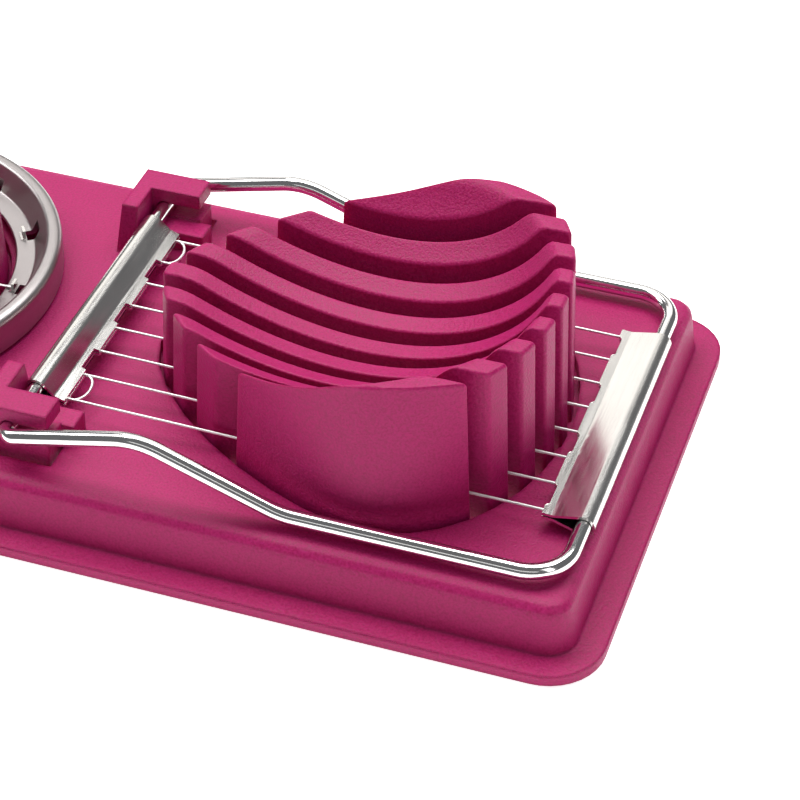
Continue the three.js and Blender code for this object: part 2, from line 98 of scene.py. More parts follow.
class EggCutterSizes(bpy.types.PropertyGroup):
    """Sizes that a user may change"""
    pitch: length("Wire pitch", "Spacing of the slicing wires", 6.3)
    wires: IntProperty(name="Wires", description="Number of slicing wires", default=8, min=2, max=12)
    slot: length("Slot width", "Gap between two fins", 2.8)
    edge: length("Moulded edge", "Rounding of the fins' edges", 0.45)
    rod: length("Rod diameter", "Round rod of the slicing frame", 2.5)
    wire: length("Wire diameter", "Cutting wire", 0.46)
    sheet: length("Sheet thickness", "Folded sheet of the clips", 0.45)
    grain: FloatProperty(name="Grain", description="Depth of the plastic's fine grain", default=0.0001,
                         unit="LENGTH", precision=6)


class EggCutterColours(bpy.types.PropertyGroup):
    """Colours that a user may change"""
    plastic: colour("Plastic", "Moulded plastic", (0.31, 0.003, 0.078))
    plastic_pale: colour("Plastic, pale mottle", "Lighter specks in the plastic", (0.45, 0.012, 0.135))
    steel: colour("Polished steel", "Rod and clips", (0.80, 0.78, 0.75))
    satin: colour("Satin steel", "Pressed ring", (0.42, 0.39, 0.385))
    floor: colour("Floor", "Floor under the object", (0.93, 0.93, 0.93))


def sizes():
    return bpy.context.scene.egg_cutter_sizes


def colours():
    return bpy.context.scene.egg_cutter_colours


# ---- Materials ----

def node_material(name):
    """A new material with its Principled shader and Object coordinates ready to use."""
    material = bpy.data.materials.new(name)
    material.use_nodes = True
    tree = material.node_tree
    shader = tree.nodes["Principled BSDF"]
    place = tree.nodes.new("ShaderNodeTexCoord").outputs["Object"]
    return material, tree, shader, place


def noise(tree, place, scale, detail=2.0, stretch=(1, 1, 1)):
    """Noise read at the object's own coordinates, stretched where the finish has a direction."""
    mapping = tree.nodes.new("ShaderNodeMapping")
    mapping.inputs["Scale"].default_value = stretch
    tree.links.new(place, mapping.inputs["Vector"])
    texture = tree.nodes.new("ShaderNodeTexNoise")
    texture.inputs["Scale"].default_value = scale
    texture.inputs["Detail"].default_value = detail
    tree.links.new(mapping.outputs["Vector"], texture.inputs["Vector"])
    return texture.outputs["Fac"]


# A Map Range node's sockets for vectors, by place in its list
VECTOR_VALUE, VECTOR_FROM_LOW, VECTOR_FROM_HIGH, VECTOR_TO_LOW, VECTOR_TO_HIGH = 6, 7, 8, 9, 10


def ramp(tree, value, low, high, start=0.0, stop=1.0):
    """Turns a value between start and stop into a colour between low and high."""
    node = tree.nodes.new("ShaderNodeMapRange")
    node.data_type = "FLOAT_VECTOR"
    node.inputs[VECTOR_FROM_LOW].default_value = (start,) * 3
    node.inputs[VECTOR_FROM_HIGH].default_value = (stop,) * 3
    node.inputs[VECTOR_TO_LOW].default_value = low
    node.inputs[VECTOR_TO_HIGH].default_value = high
    tree.links.new(value, node.inputs[VECTOR_VALUE])
    return node.outputs["Vector"]


def span(tree, value, low, high, start=0.0, stop=1.0):
    """Maps a value between start and stop onto the span from low to high."""
    node = tree.nodes.new("ShaderNodeMapRange")
    for name, setting in (("From Min", start), ("From Max", stop), ("To Min", low), ("To Max", high)):
        node.inputs[name].default_value = setting
    tree.links.new(value, node.inputs["Value"])
    return node.outputs["Result"]


def bump(tree, height, distance, strength=1.0, under=None):
    """Bump from a height, on top of another normal if one is given."""
    node = tree.nodes.new("ShaderNodeBump")
    node.inputs["Distance"].default_value = distance
    node.inputs["Strength"].default_value = strength
    tree.links.new(height, node.inputs["Height"])
    if under is not None:
        tree.links.new(under, node.inputs["Normal"])
    return node.outputs["Normal"]


def plastic_material(name, edge=0.0):
    """Moulded plastic: a slow mottle, pale specks, a fine spark-eroded grain and a soft sheen.
    Edge rounds the shading of hard corners, in millimetres."""
    material, tree, shader, place = node_material(name)
    speck = noise(tree, place, 2600.0, 3.0)
    cloud = noise(tree, place, 60.0, 2.0)
    mix = tree.nodes.new("ShaderNodeMath")
    mix.operation = "MULTIPLY_ADD"
    mix.inputs[1].default_value = 0.35
    tree.links.new(cloud, mix.inputs[0])
    tree.links.new(span(tree, speck, 0.0, 0.9, 0.32, 0.68), mix.inputs[2])
    mottle = ramp(tree, mix.outputs["Value"], tuple(colours().plastic), tuple(colours().plastic_pale))
    tree.links.new(mottle, shader.inputs["Base Color"])
    tree.links.new(span(tree, speck, 0.34, 0.58, 0.3, 0.7), shader.inputs["Roughness"])
    under = None
    if edge:
        rounded = tree.nodes.new("ShaderNodeBevel")
        rounded.samples = 4
        rounded.inputs["Radius"].default_value = edge * MM
        under = rounded.outputs["Normal"]
    tree.links.new(bump(tree, speck, sizes().grain, 1.0, under), shader.inputs["Normal"])
    shader.inputs["IOR"].default_value = 1.49
    shader.inputs["Specular IOR Level"].default_value = 0.3
    shader.inputs["Subsurface Weight"].default_value = 0.12
    shader.inputs["Subsurface Radius"].default_value = (1.0, 0.12, 0.2)
    shader.inputs["Subsurface Scale"].default_value = 0.002
    return material


def steel_material(name, metal, smooth, rough, stretch, scale, depth=0.0000015):
    """Drawn or rolled steel: fine marks along one direction change its roughness and tilt its reflections."""
    material, tree, shader, place = node_material(name)
    marks = noise(tree, place, scale, 4.0, stretch)
    haze = noise(tree, place, 90.0, 2.0)
    shader.inputs["Metallic"].default_value = 1.0
    clouded = ramp(tree, haze, tuple(c * 0.93 for c in metal), tuple(metal), 0.3, 0.7)
    tree.links.new(clouded, shader.inputs["Base Color"])
    tree.links.new(span(tree, marks, smooth, rough, 0.25, 0.75), shader.inputs["Roughness"])
    tree.links.new(bump(tree, marks, depth), shader.inputs["Normal"])
    return material


def finish_material(key):
    """The shared material for one finish, made on first use."""
    found = bpy.data.materials.get(key)
    if found:
        return found
    steel, satin = tuple(colours().steel), tuple(colours().satin)
    make = {
        "rose_plastic": lambda: plastic_material(key),
        "rose_plastic_base": lambda: plastic_material(key, 0.9),
        "polished_rod": lambda: steel_material(key, steel, 0.10, 0.17, (1, 1, 1), 900.0),
        "folded_sheet": lambda: steel_material(key, steel, 0.16, 0.26, (3, 0.15, 3), 700.0, 0.000003),
        "satin_pressing": lambda: steel_material(key, satin, 0.30, 0.44, (1, 1, 1), 1800.0, 0.000006),
        "cutting_wire": lambda: steel_material(key, steel, 0.16, 0.24, (0.1, 1, 1), 900.0),
    }
    return make[key]()


# ---- Meshes ----

def make_piece(name, vertices, faces, material, body, slot, replaces=(), crease=38.0):
    """A closed mesh from arrays in millimetres. Points that coincide, as at a pole, are merged, and faces
    are wound outwards. An edge sharper than crease, in degrees, stays sharp."""
    mesh = bpy.data.meshes.new(name)
    mesh.from_pydata((np.asarray(vertices, float) * MM).tolist(), [], np.asarray(faces).tolist())
    shape = bmesh.new()
    shape.from_mesh(mesh)
    bmesh.ops.remove_doubles(shape, verts=shape.verts, dist=2e-6)
    bmesh.ops.dissolve_degenerate(shape, edges=shape.edges, dist=1e-6)
    bmesh.ops.recalc_face_normals(shape, faces=shape.faces)
    shape.to_mesh(mesh)
    shape.free()
    mesh.polygons.foreach_set("use_smooth", np.ones(len(mesh.polygons), bool))
    mesh.set_sharp_from_angle(angle=math.radians(crease))
    piece = bpy.data.objects.new(name, mesh)
    bpy.context.scene.collection.objects.link(piece)
    mesh.materials.append(finish_material(material))
    shading = piece.modifiers.new("Even shading", "WEIGHTED_NORMAL")
    shading.keep_sharp = True
    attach(piece, body)
    if replaces:
        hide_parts(*replaces)
    return piece


def grid(rows, columns, wrap_rows=False, wrap_columns=False, first=0):
    """Quads of a grid stored row by row. A wrapped direction joins its last line to its first."""
    r = np.arange(rows if wrap_rows else rows - 1)[:, None]
    c = np.arange(columns if wrap_columns else columns - 1)[None, :]
    r1, c1 = (r + 1) % rows, (c + 1) % columns
    quads = np.stack([r * columns + c, r * columns + c1, r1 * columns + c1, r1 * columns + c], -1)
    return quads.reshape(-1, 4) + first


def joined(parts):
    """One pair of arrays from several (vertices, faces) pairs."""
    counts = np.cumsum([0] + [len(v) for v, _ in parts[:-1]])
    return (np.concatenate([np.asarray(v, float).reshape(-1, 3) for v, _ in parts]),
            np.concatenate([np.asarray(f) + n for (_, f), n in zip(parts, counts)]))


def slab(top, bottom):
    """A closed body between two grids of the same size: its top, its bottom and the ribbon round them."""
    rows, columns = top.shape[:2]
    count = rows * columns
    vertices = np.concatenate([top.reshape(-1, 3), bottom.reshape(-1, 3)])
    index = np.arange(count).reshape(rows, columns)
    border = np.concatenate([index[0, :-1], index[:-1, -1], index[-1, :0:-1], index[:0:-1, 0]])
    after = np.roll(border, -1)
    sides = np.stack([border, after, after + count, border + count], -1)
    faces = np.concatenate([grid(rows, columns), grid(rows, columns, first=count)[:, ::-1], sides])
    return vertices, faces


def unit(v):
    return v / np.maximum(np.linalg.norm(v, axis=-1, keepdims=True), 1e-12)


DOME_STEPS = 5


def tube(path, radius, sides=20, closed=False, up=(0, 0, 1)):
    """A circle carried along a path: each ring lies in the plane across the path, turned so that one spoke
    is level. Open ends are domed to a point."""
    path = np.asarray(path, float)
    if closed:
        along = unit(np.roll(path, -1, 0) - np.roll(path, 1, 0))
    else:
        along = unit(np.gradient(path, axis=0))
    side = unit(np.cross(along, np.asarray(up, float)))
    rise = np.cross(side, along)
    radii = np.full(len(path), float(radius))
    if not closed:
        dome = np.linspace(0, math.pi / 2, DOME_STEPS)
        depth = radius * (1 - np.cos(dome))
        radii_end = radius * np.sin(dome)
        head = path[0] + along[0] * depth[:, None]
        foot = path[-1] - along[-1] * depth[::-1, None]
        path = np.concatenate([head, path[1:-1], foot])
        radii = np.concatenate([radii_end, radii[1:-1], radii_end[::-1]])
        side, rise = (np.concatenate([np.repeat(spoke[:1], DOME_STEPS, 0), spoke[1:-1],
                                      np.repeat(spoke[-1:], DOME_STEPS, 0)]) for spoke in (side, rise))
    turn = np.linspace(0, 2 * math.pi, sides, endpoint=False)
    ring = side[:, None] * np.cos(turn)[None, :, None] + rise[:, None] * np.sin(turn)[None, :, None]
    points = path[:, None] + ring * radii[:, None, None]
    return points.reshape(-1, 3), grid(len(path), sides, closed, True)


def rounded_route(corners, radii, steps=16, straight=6):
    """A closed polyline whose corners are arcs: each arc turns evenly from the arriving edge to the leaving
    one about its centre. Straights are split evenly."""
    corners = np.asarray(corners, float)
    radii = np.asarray(radii, float)[:, None]
    before = unit(corners - np.roll(corners, 1, 0))
    after = unit(np.roll(corners, -1, 0) - corners)
    half = np.arccos(np.clip((before * after).sum(-1, keepdims=True), -1, 1)) / 2
    centre = corners + unit(after - before) * radii / np.cos(half)
    start = corners - before * radii * np.tan(half) - centre
    stop = corners + after * radii * np.tan(half) - centre
    t = np.linspace(0, 1, steps)[None, :, None]
    angle = 2 * half[:, None]
    blend = np.sin((1 - t) * angle) * start[:, None] + np.sin(t * angle) * stop[:, None]
    arc = centre[:, None] + blend / np.sin(angle)
    gap = np.roll(arc[:, 0], -1, 0) - arc[:, -1]
    share = np.linspace(0, 1, straight + 2)[1:-1]
    line = arc[:, -1][:, None] + gap[:, None] * share[None, :, None]
    return np.concatenate([arc, line], 1).reshape(-1, 3)


def quarter(distance, radius):
    """How far a surface drops near an edge that is rounded to a radius: nothing past the radius, the whole
    radius at the edge."""
    inside = np.clip(radius - distance, 0, radius)
    return radius - np.sqrt(np.maximum(radius ** 2 - inside ** 2, 0))


def edge_steps(length, radius, inner, steps=5):
    """Places from 0 to length that crowd into the rounding at both ends."""
    near = radius * (1 - np.cos(np.linspace(0, math.pi / 2, steps)))
    middle = np.linspace(radius, length - radius, inner + 2)[1:-1]
    return np.concatenate([near, middle, length - near[::-1]])


def carried(points):
    """A closed body from a folded sheet's section carried along rows. The section runs out along one face
    and back along the other, so each end is closed by quads between those two halves."""
    rows, count = points.shape[:2]
    out = np.arange(count // 2 - 1)
    caps = np.stack([out, out + 1, count - 2 - out, count - 1 - out], -1)
    faces = [grid(rows, count, False, True), caps, caps + (rows - 1) * count]
    return points.reshape(-1, 3), np.concatenate(faces)


def wire_places():
    """Where the slicing wires lie across the base: evenly spaced about its middle."""
    count = sizes().wires
    return sizes().pitch * (np.arange(count) - (count - 1) / 2)


def soft_min(a, b, blend):
    """The lower of two heights, blended over a small difference."""
    h = np.clip(0.5 + 0.5 * (b - a) / blend, 0, 1)
    return b + (a - b) * h - blend * h * (1 - h)


# ---- Cradle ----

CRADLE_MID, CRADLE_LONG, CRADLE_WIDE = 47.7, 33.3, 31.9
CRADLE_SKEW, CRADLE_SKEW_POWER, CRADLE_POWER, CRADLE_DRAFT = 10.3, 1.5, 1.65, 0.055
BOWL_HALF = (54.3, 39.5, 35.9)
BOWL_CENTRE = (30.0, DECK + 50.9)
BOWL_TILT = 0.61
LIP_INSIDE, LIP_OUTSIDE = 0.6, 2.9
WALL_EDGE = 0.7
END_LEAN = 0.019
RIM_X = (10.4, 19.4, 28.4, 36.4, 43.4, 49.4, 56.4, 66.4, 87.0)
RIM_RISE = (15.0, 15.4, 16.8, 18.5, 20.3, 21.9, 23.3, 24.2, 24.3)


def cradle_reach(y, grow):
    """Half the cradle's length at y: a rounded diamond, where the share of length and the share of width,
    each to a power, add to one."""
    share = np.clip(np.abs(y) / (CRADLE_WIDE + grow), 0, 1)
    return (CRADLE_LONG + grow) * (1 - share ** CRADLE_POWER) ** (1 / CRADLE_POWER)


def cradle_middle(y):
    return CRADLE_MID + CRADLE_SKEW * np.clip(np.abs(y) / CRADLE_WIDE, 0, 1) ** CRADLE_SKEW_POWER


def rim_height(x):
    """A smooth S through the rim's set heights, as a cubic between neighbours with matched slopes."""
    xs, hs = np.array(RIM_X), np.array(RIM_RISE)
    slope = np.gradient(hs, xs)
    i = np.clip(np.searchsorted(xs, x) - 1, 0, len(xs) - 2)
    w = xs[i + 1] - xs[i]
    t = np.clip((x - xs[i]) / w, 0, 1)
    rise = ((2 * t ** 3 - 3 * t ** 2 + 1) * hs[i] + (t ** 3 - 2 * t ** 2 + t) * w * slope[i]
            + (3 * t ** 2 - 2 * t ** 3) * hs[i + 1] + (t ** 3 - t ** 2) * w * slope[i + 1])
    return DECK + np.minimum(rise, hs.max())


def bowl_height(x, y):
    """The lower side of a tilted ellipsoid over (x, y), from the quadratic in height, or a large height
    outside it."""
    a, b, c = BOWL_HALF
    cos, sin = math.cos(BOWL_TILT), math.sin(BOWL_TILT)
    dx = x - BOWL_CENTRE[0]
    second = sin ** 2 / a ** 2 + cos ** 2 / c ** 2
    first = 2 * sin * cos * dx * (1 / c ** 2 - 1 / a ** 2)
    rest = cos ** 2 * dx ** 2 / a ** 2 + sin ** 2 * dx ** 2 / c ** 2 + y ** 2 / b ** 2 - 1
    under = first ** 2 - 4 * second * rest
    low = BOWL_CENTRE[1] + (-first - np.sqrt(np.maximum(under, 0))) / (2 * second)
    return np.where(under > 0, low, 200.0)


def cradle_top(x, y):
    return soft_min(rim_height(x), bowl_height(x, y), 1.6)


def fin(y_low, y_high):
    """One fin between two slots, or an end block from a slot to the outline. Rows run across it and columns
    along it. Each top point takes the bowl's or the rim's height, less the rounding near its edges. The
    walls lean in by the draft, which depends on that height, so the place is found by repeating."""
    edge = sizes().edge
    outer = abs(y_low) > CRADLE_WIDE - 1 or abs(y_high) > CRADLE_WIDE - 1
    if outer:
        base = min(abs(y_low), abs(y_high))
        bulge = CRADLE_WIDE - base
        side = 1.0 if y_high > 0 else -1.0
        near = edge * (1 - np.cos(np.linspace(0, math.pi / 2, 5)))
        share = np.sin(np.linspace(0, math.pi / 2, 30))
        rows = np.concatenate([near / bulge, edge / bulge + (1 - edge / bulge) * share[1:]])
    else:
        rows = edge_steps(y_high - y_low, edge, 3)
    columns = edge_steps(1.0, 0.022, 64, 9)

    def place(z):
        inset = CRADLE_DRAFT * np.maximum(z - DECK, 0)
        if outer:
            on_deck = side * (base + bulge * rows[:, None]) + 0 * inset
            y = side * (base + (np.abs(on_deck) - base) * (1 - END_LEAN * np.maximum(z - DECK, 0)))
            slot_gap = np.abs(y) - base
        else:
            on_deck = y = y_low + rows[:, None] + 0 * inset
            slot_gap = np.minimum(y - y_low, y_high - y)
        lower = quarter(slot_gap, edge)
        reach = cradle_reach(on_deck, -lower) - inset * np.minimum(1, cradle_reach(on_deck, 0) / 12)
        x = cradle_middle(on_deck) + reach * (2 * columns[None, :] - 1)
        to_wall = reach - np.abs(x - cradle_middle(on_deck))
        if outer:
            to_wall = np.minimum(to_wall, (CRADLE_WIDE - np.abs(on_deck)) * 0.6)
        return x, y, lower, to_wall

    z = np.full((len(rows), len(columns)), DECK + 20.0)
    for _ in range(6):
        x, y, lower, to_wall = place(z)
        z = cradle_top(x, y) - lower - quarter(to_wall, WALL_EDGE)
    top = np.stack([x, y, z], -1)
    floor = np.full_like(z, LIP_BOTTOM)
    x, y, _, _ = place(floor)
    return slab(top, np.stack([x, y, floor], -1))


def cradle_loop(grow, count=160):
    """The cradle's outline on the deck, once round, with its points crowded where it turns."""
    turn = np.linspace(0, 2 * math.pi, count, endpoint=False)
    y = (CRADLE_WIDE + grow) * np.sin(turn)
    return np.stack([cradle_middle(y) + np.sign(np.cos(turn)) * cradle_reach(y, grow), y], -1)


def band(inner, outer, low, high):
    """A flat band between two outlines with a height: a rectangle carried round."""
    corners = ((inner, low), (outer, low), (outer, high), (inner, high))
    points = np.stack([np.column_stack([ring, np.full(len(ring), z)]) for ring, z in corners], 1)
    return points.reshape(-1, 3), grid(len(inner), 4, True, True)


class EGGCUTTER_OT_cradle(bpy.types.Operator):
    """Builds the cradle's fins and the lip that joins them under the deck"""
    bl_idname = "eggcutter.cradle"
    bl_label = "Cradle"

    def execute(self, context):
        wires, half = wire_places(), sizes().slot / 2
        starts = np.concatenate([[-CRADLE_WIDE], wires + half])
        stops = np.concatenate([wires - half, [CRADLE_WIDE]])
        parts = [fin(a, b) for a, b in zip(starts, stops)]
        parts.append(band(cradle_loop(-LIP_INSIDE), cradle_loop(LIP_OUTSIDE), LIP_BOTTOM, LIP_TOP))
        vertices, faces = joined(parts)
        make_piece("cradle_fins", vertices, faces, "rose_plastic", "base", "pink_plastic", ("slicer_cradle",))
        return {"FINISHED"}


# ---- Slicer frame ----

ROD_RADIUS = 1.25
ROD_HIGH, ROD_LOW = high_corner("slicer_frame_rod"), low_corner("slicer_frame_rod")
HINGE = hinge_place("slicer_hinge")
END = (ROD_HIGH[0] - ROD_RADIUS, ROD_LOW[2] + ROD_RADIUS)
HALF_SPAN = ROD_HIGH[1] - ROD_RADIUS
KNEE = (25.0, 20.3)
FOOT_X = 47.4
END_BEND, KNEE_BEND, HINGE_BEND = 6.5, 12, 2.1
CLIP_HALF = 23.35
CLIP_CLEAR = 0.1
HINGE_TIP = (4.6, -1.6)
END_TIP = (-6.3, 0.4)
WIRE_INSET = 0.3
FLANGE = 1.6
SHEET_GAP = 0.12
NOTCH_SLACK = 0.02
NOTCH_MARGIN = 0.55
LOOP_START, LOOP_BULGE = 0.4, 2.1


class EGGCUTTER_OT_frame_rod(bpy.types.Operator):
    """Builds the bent rod of the slicing frame"""
    bl_idname = "eggcutter.frame_rod"
    bl_label = "Frame rod"

    def execute(self, context):
        w = HALF_SPAN
        arm = [(END[0], w, END[1]), (FOOT_X, w, END[1]), (KNEE[0], w, KNEE[1]), (HINGE[0], w, HINGE[1])]
        corners = np.array(arm + [(x, -y, z) for x, y, z in arm[::-1]])
        radii = [END_BEND, KNEE_BEND, KNEE_BEND, HINGE_BEND]
        radii += radii[::-1]
        route = rounded_route(corners, radii)
        bar = tube(route, sizes().rod / 2, 32, True)
        make_piece("frame_rod", *bar, "polished_rod", "slicer_frame", "polished_rod", ("slicer_frame_rod",))
        return {"FINISHED"}


def clip(centre, tip, notches, depth, ramp_length):
    """A sheet folded round a rod: the section is the rod's circle joined by tangents to a pinched flange,
    and it is carried along Y. Where a notch lies, the flange's points are held back by the notch's depth,
    which grows over the ramp's length."""
    cx, cz = centre
    way = math.copysign(1.0, tip[0])
    reach, drop = abs(tip[0]), tip[1]
    aim, far = math.atan2(drop, reach), math.hypot(reach, drop)
    radius, sheet = sizes().rod / 2 + CLIP_CLEAR, sizes().sheet

    def contour(r, gap, steps=26):
        lean = math.acos(min(r / far, 1.0))
        turn = np.linspace(aim + lean, aim + 2 * math.pi - lean, steps)
        arc = np.stack([r * np.cos(turn), r * np.sin(turn)], -1)
        share = np.linspace(0, 1, 9)[:-1, None]
        ends = []
        for sign, p in ((1, arc[0]), (-1, arc[-1])):
            pinch = np.array([reach - FLANGE, drop * (1 - FLANGE / far) + sign * gap])
            edge = np.array([reach, drop + sign * gap])
            ends.append(np.concatenate([edge + (pinch - edge) * share, pinch + (p - pinch) * share]))
        return np.concatenate([ends[0], arc, ends[1][::-1]])

    section = np.concatenate([contour(radius + sheet, sheet + SHEET_GAP), contour(radius, SHEET_GAP)[::-1]])
    stops = [-CLIP_HALF]
    for low, high in notches:
        stops += [low - NOTCH_SLACK, low + ramp_length, high - ramp_length, high + NOTCH_SLACK]
    stops.append(CLIP_HALF)
    y = np.unique(np.concatenate([np.linspace(a, b, 5) for a, b in zip(stops[:-1], stops[1:])]))
    held = np.zeros_like(y)
    for low, high in notches:
        inside = np.minimum(y - low, high - y) + NOTCH_SLACK
        held = np.maximum(held, np.clip(inside / (ramp_length + NOTCH_SLACK), 0, 1))
    x = np.minimum(section[None, :, 0], reach - depth * held[:, None])
    z = np.broadcast_to(cz + section[None, :, 1], x.shape)
    return carried(np.stack([cx + way * x, np.broadcast_to(y[:, None], x.shape), z], -1))


class EGGCUTTER_OT_clips(bpy.types.Operator):
    """Builds the two folded clips that hold the wires on the rod"""
    bl_idname = "eggcutter.clips"
    bl_label = "Wire clips"

    def execute(self, context):
        wires = wire_places()
        middles = (wires[:-1] + wires[1:]) / 2
        half = sizes().pitch / 2 - NOTCH_MARGIN
        gaps = np.stack([middles - half, middles + half], -1)
        finish = ("folded_sheet", "slicer_frame", "clip_sheet")
        left = clip(HINGE, HINGE_TIP, gaps[1::2], 0.8, 0.105)
        make_piece("hinge_clip", *left, *finish, ("slicer_hinge_clip",), 50)
        right = clip(END, END_TIP, gaps[0::2], 0.55, 0.6)
        make_piece("end_clip", *right, *finish, ("slicer_end_clip",), 50)
        return {"FINISHED"}


class EGGCUTTER_OT_slicing_wires(bpy.types.Operator):
    """Builds the slicing wires and the loops of the lacing at the clips"""
    bl_idname = "eggcutter.slicing_wires"
    bl_label = "Slicing wires"

    def execute(self, context):
        wires, radius = wire_places(), sizes().wire / 2
        finish = ("cutting_wire", "slicer_frame", "cutting_wire")
        left = (HINGE[0] + HINGE_TIP[0] - WIRE_INSET, HINGE[1] + HINGE_TIP[1])
        right = (END[0] + END_TIP[0] + WIRE_INSET, END[1] + END_TIP[1])
        share = np.linspace(0, 1, 12)[:, None]
        for i, y in enumerate(wires):
            start, stop = np.array([left[0], y, left[1]]), np.array([right[0], y, right[1]])
            span_of_wire = tube(start + (stop - start) * share, radius, 12)
            make_piece(f"slicing_wire_{i + 1}", *span_of_wire, *finish, (f"slicer_wire_{i + 1}",))
        turn = np.linspace(0, math.pi, 24)
        loops = []
        for a, b in ((wires[0], wires[1]), (wires[-2], wires[-1])):
            path = np.stack([left[0] + LOOP_START + LOOP_BULGE * np.sin(turn) ** 0.8,
                             (a + b) / 2 - (b - a) / 2 * np.cos(turn),
                             left[1] - 0.05 - 0.25 * np.sin(turn)], -1)
            loops.append(tube(path, radius, 10))
        make_piece("lacing_loops", *joined(loops), *finish)
        return {"FINISHED"}


# ---- Wedger ----

RING_RADIUS = 34.7
RING_X = high_corner("wedger_ring")[0] - RING_RADIUS
RING_LOW = low_corner("wedger_wire_1")[2] - 1.95
RING_TOP = RING_LOW + 6.0
RING_FLANGE = RING_LOW + 1.9
RING_SHEET = 0.8
RIM_RADIUS, SLOPE_RADIUS, OPENING_RADIUS = 32.3, 30.2, 26.9
LANCES = np.radians(4 + 30 * np.arange(12))
PIN = hinge_place("wedger_hinge")


def turned(profile, steps):
    """A closed profile of (radius, height) turned once round the ring's upright axis."""
    turn = np.linspace(0, 2 * math.pi, steps, endpoint=False)
    r, z = np.asarray(profile, float).T
    points = np.stack([RING_X + r[None] * np.cos(turn)[:, None], r[None] * np.sin(turn)[:, None],
                       np.broadcast_to(z, (steps, len(z)))], -1)
    return points.reshape(-1, 3), grid(steps, len(z), True, True)


def softened(points, radii, steps=6):
    """A closed outline in a plane whose corners are rounded."""
    flat = np.column_stack([np.asarray(points, float), np.zeros(len(points))])
    return rounded_route(flat, radii, steps, 3)[:, :2]


def spread(vertices, faces):
    """Copies a body in (radius, sideways, height) to every lance: each copy is turned about the ring's axis
    by the lance's angle."""
    r, side, z = np.asarray(vertices, float).reshape(-1, 3).T
    cos, sin = np.cos(LANCES)[:, None], np.sin(LANCES)[:, None]
    heights = np.broadcast_to(z, (len(LANCES), len(z)))
    points = np.stack([RING_X + r * cos - side * sin, r * sin + side * cos, heights], -1)
    return joined([(copy, faces) for copy in points])


def tongue():
    """A lanced tongue: a strip that leaves the flange, turns up through a quarter circle and stands
    upright, with a tip narrower than its root."""
    bend, thick, high = 0.5, 0.45, 1.25
    turn = np.linspace(0, math.pi / 2, 7)
    root, level = 28.3, RING_FLANGE - 0.25
    curve = np.stack([root + bend * np.sin(turn), level + bend * (1 - np.cos(turn))], -1)
    line = np.concatenate([[[root - 0.3, level - 0.05]], curve, [[root + bend, level + bend + high]]])
    along = unit(np.gradient(line, axis=0))
    inward = np.stack([-along[:, 1], along[:, 0]], -1)
    half = np.linspace(1.15, 0.85, len(line))
    across = np.linspace(-1, 1, 7)

    def face(offset):
        flat = line + inward * offset
        side = half[:, None] * across[None, :]
        r, z = (np.broadcast_to(flat[:, k:k + 1], side.shape) for k in (0, 1))
        return np.stack([r, side, z], -1)

    return slab(face(thick), face(0.0))


def window():
    """The opening that a tongue leaves: an upright block through the flange and the foot of the wall."""
    heights = (RING_FLANGE - 2.0, RING_FLANGE + 2.6)
    r, side, z = np.meshgrid((28.95, 31.2), (-1.35, 1.35), heights, indexing="ij")
    corners = np.stack([r, side, z], -1).reshape(-1, 3)
    return corners, np.array([(0, 1, 3, 2), (4, 6, 7, 5), (0, 4, 5, 1), (2, 3, 7, 6), (0, 2, 6, 4), (1, 5, 7, 3)])


def pierced(piece, vertices, faces):
    """Takes closed bodies away from a piece and keeps the result as its mesh."""
    scene = bpy.context.scene
    mesh = bpy.data.meshes.new("cutter")
    mesh.from_pydata((vertices * MM).tolist(), [], faces.tolist())
    cutter = bpy.data.objects.new("cutter", mesh)
    scene.collection.objects.link(cutter)
    cut = piece.modifiers.new("Windows", "BOOLEAN")
    cut.operation, cut.solver, cut.object = "DIFFERENCE", "EXACT", cutter
    bpy.context.view_layer.update()
    whole = piece.evaluated_get(bpy.context.evaluated_depsgraph_get())
    finished = bpy.data.meshes.new_from_object(whole)
    piece.modifiers.clear()
    piece.data = finished
    bpy.data.objects.remove(cutter)
    bpy.data.meshes.remove(mesh)


class EGGCUTTER_OT_ring(bpy.types.Operator):
    """Builds the pressed ring with its rolled tail and wire tabs"""
    bl_idname = "eggcutter.ring"
    bl_label = "Wedger ring"

    def execute(self, context):
        low, top, t = RING_LOW, RING_TOP, RING_SHEET
        wall = RING_RADIUS - t
        profile = softened([
            (wall, low), (RING_RADIUS, low), (RING_RADIUS, top - 0.02), (RIM_RADIUS, top - 0.02),
            (SLOPE_RADIUS, RING_FLANGE), (OPENING_RADIUS, RING_FLANGE), (OPENING_RADIUS, RING_FLANGE - t),
            (SLOPE_RADIUS + 0.55, RING_FLANGE - t), (RIM_RADIUS + 0.45, top - t), (wall, top - t)],
            [0.2, 0.2, 1.3, 0.8, 0.5, 0.3, 0.3, 0.9, 0.4, 0.4])
        outer, inner = 2.55, 1.36
        join = RING_X - 34.2
        turn = np.linspace(math.pi / 2, 2 * math.pi - 0.3, 28)
        circle = np.stack([np.cos(turn), np.sin(turn)], -1)
        upper = [[join, PIN[1] + outer - 0.1], [join - 3, PIN[1] + outer - 0.02]]
        lower = [[join - 3, PIN[1] + inner + 0.3], [join, PIN[1] + inner + 0.2]]
        section = np.concatenate([upper, PIN + outer * circle, PIN + inner * circle[::-1], lower])
        y = np.array([-7.9, -7.5, -4, 0, 4, 7.5, 7.9])
        shape = (len(y), len(section))
        tail = np.stack([np.broadcast_to(section[:, 0], shape), np.broadcast_to(y[:, None], shape),
                         np.broadcast_to(section[:, 1], shape)], -1)
        finish = ("wedger_frame", "ring_sheet")
        body = joined([turned(profile, 240), carried(tail)])
        ring_sheet = make_piece("wedger_ring_sheet", *body, "satin_pressing", *finish, ("wedger_ring",))
        pierced(ring_sheet, *spread(*window()))
        make_piece("wedger_ring_tongues", *spread(*tongue()), "folded_sheet", *finish)
        return {"FINISHED"}


# ---- CAD nodes that keep their shape ----

